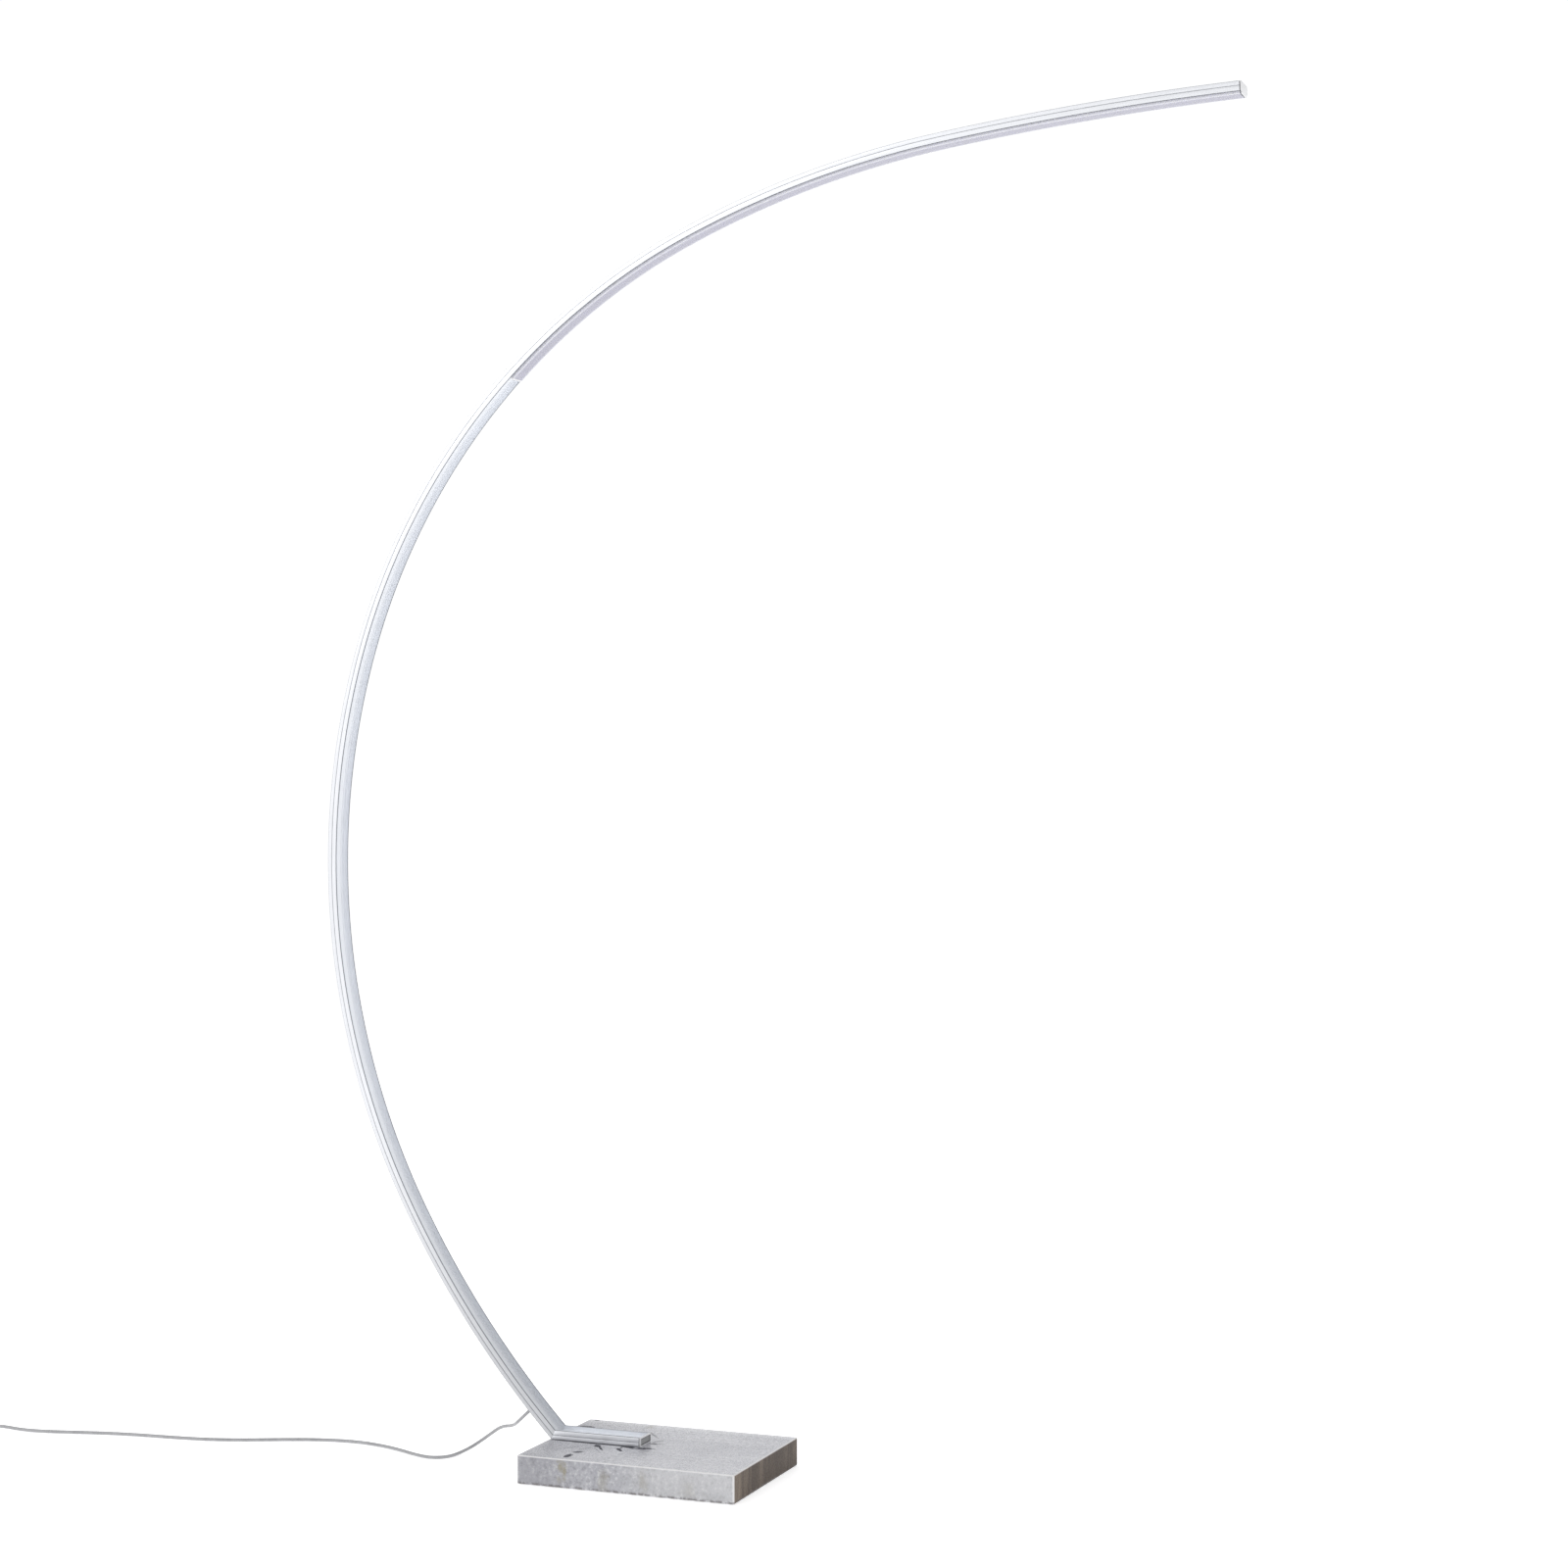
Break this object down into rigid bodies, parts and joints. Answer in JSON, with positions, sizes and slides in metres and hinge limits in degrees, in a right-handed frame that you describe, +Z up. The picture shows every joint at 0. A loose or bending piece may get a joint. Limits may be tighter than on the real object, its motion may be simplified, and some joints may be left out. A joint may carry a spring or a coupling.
{
  "type": "arc floor lamp",
  "caption": "Floor lamp with a slim light bar bent into a tall arc over a rectangular marble base, with its lead, foot switch and plug-in supply.",
  "frame": {"origin": "centre of the underside of the base, on the floor", "axes": "+Z up; the arc stands in the XZ plane, rises towards -X and reaches over the base towards +X; +Y completes the frame, away from the front long face of the base"},
  "size_m": [2.1741, 0.2592, 1.9969],
  "materials": {
    "marble": "polished grey marble",
    "pad_rubber": "matt foam sheet",
    "steel": "zinc plated",
    "bar_aluminium": "satin silver anodised",
    "cap_white": "moulded, satin",
    "strip_white": "white flexible circuit",
    "led_yellow": "phosphor",
    "opal": "opal acrylic, satin",
    "wire_white": "PVC",
    "grommet_black": "moulded",
    "cord_clear_white": "grey PVC sheath, satin",
    "switch_white": "fine texture",
    "button_white": "gloss",
    "module_black": "moulded",
    "tie_black": "hook and loop band",
    "adapter_white": "fine texture",
    "brass": "nickel plated",
    "board_green": "solder resist"
  },
  "bodies": {
    "lamp": {"marble_base": "marble", "base_pad": "pad_rubber", "base_washers": "steel", "base_bolts": "steel", "foot_profile": "bar_aluminium", "foot_nut_bar": "steel", "foot_end_cap": "cap_white", "corner_bracket": "steel", "bracket_screws": "steel", "arc_profile": "bar_aluminium", "tip_end_cap": "cap_white", "led_strip": "strip_white", "led_chips": "led_yellow", "diffuser": "opal", "diffuser_start_cap": "cap_white", "supply_wires": "wire_white", "cord_gland": "grommet_black", "lamp_cord": "cord_clear_white", "switch_case_lower": "switch_white", "switch_case_upper": "switch_white", "switch_spring": "steel", "switch_module": "module_black", "switch_screws": "steel", "switch_relief_in": "cord_clear_white", "switch_relief_out": "cord_clear_white", "switch_cord": "cord_clear_white", "cord_coil": "cord_clear_white", "coil_tie": "tie_black", "adapter_cord": "cord_clear_white", "adapter_relief": "cord_clear_white", "adapter_case_front": "adapter_white", "adapter_case_rear": "adapter_white", "adapter_pins": "brass", "adapter_board": "board_green", "adapter_transformer": "module_black"},
    "foot_button": {"switch_button": "button_white"}
  },
  "joints": [
    {"name": "foot_button_press", "type": "slide", "parent": "lamp", "child": "foot_button", "axis": [0, 0, -1], "range_m": [0, 0.0025], "stiffness_N_per_m": 400, "deforming": ["switch_spring"]}
  ]
}
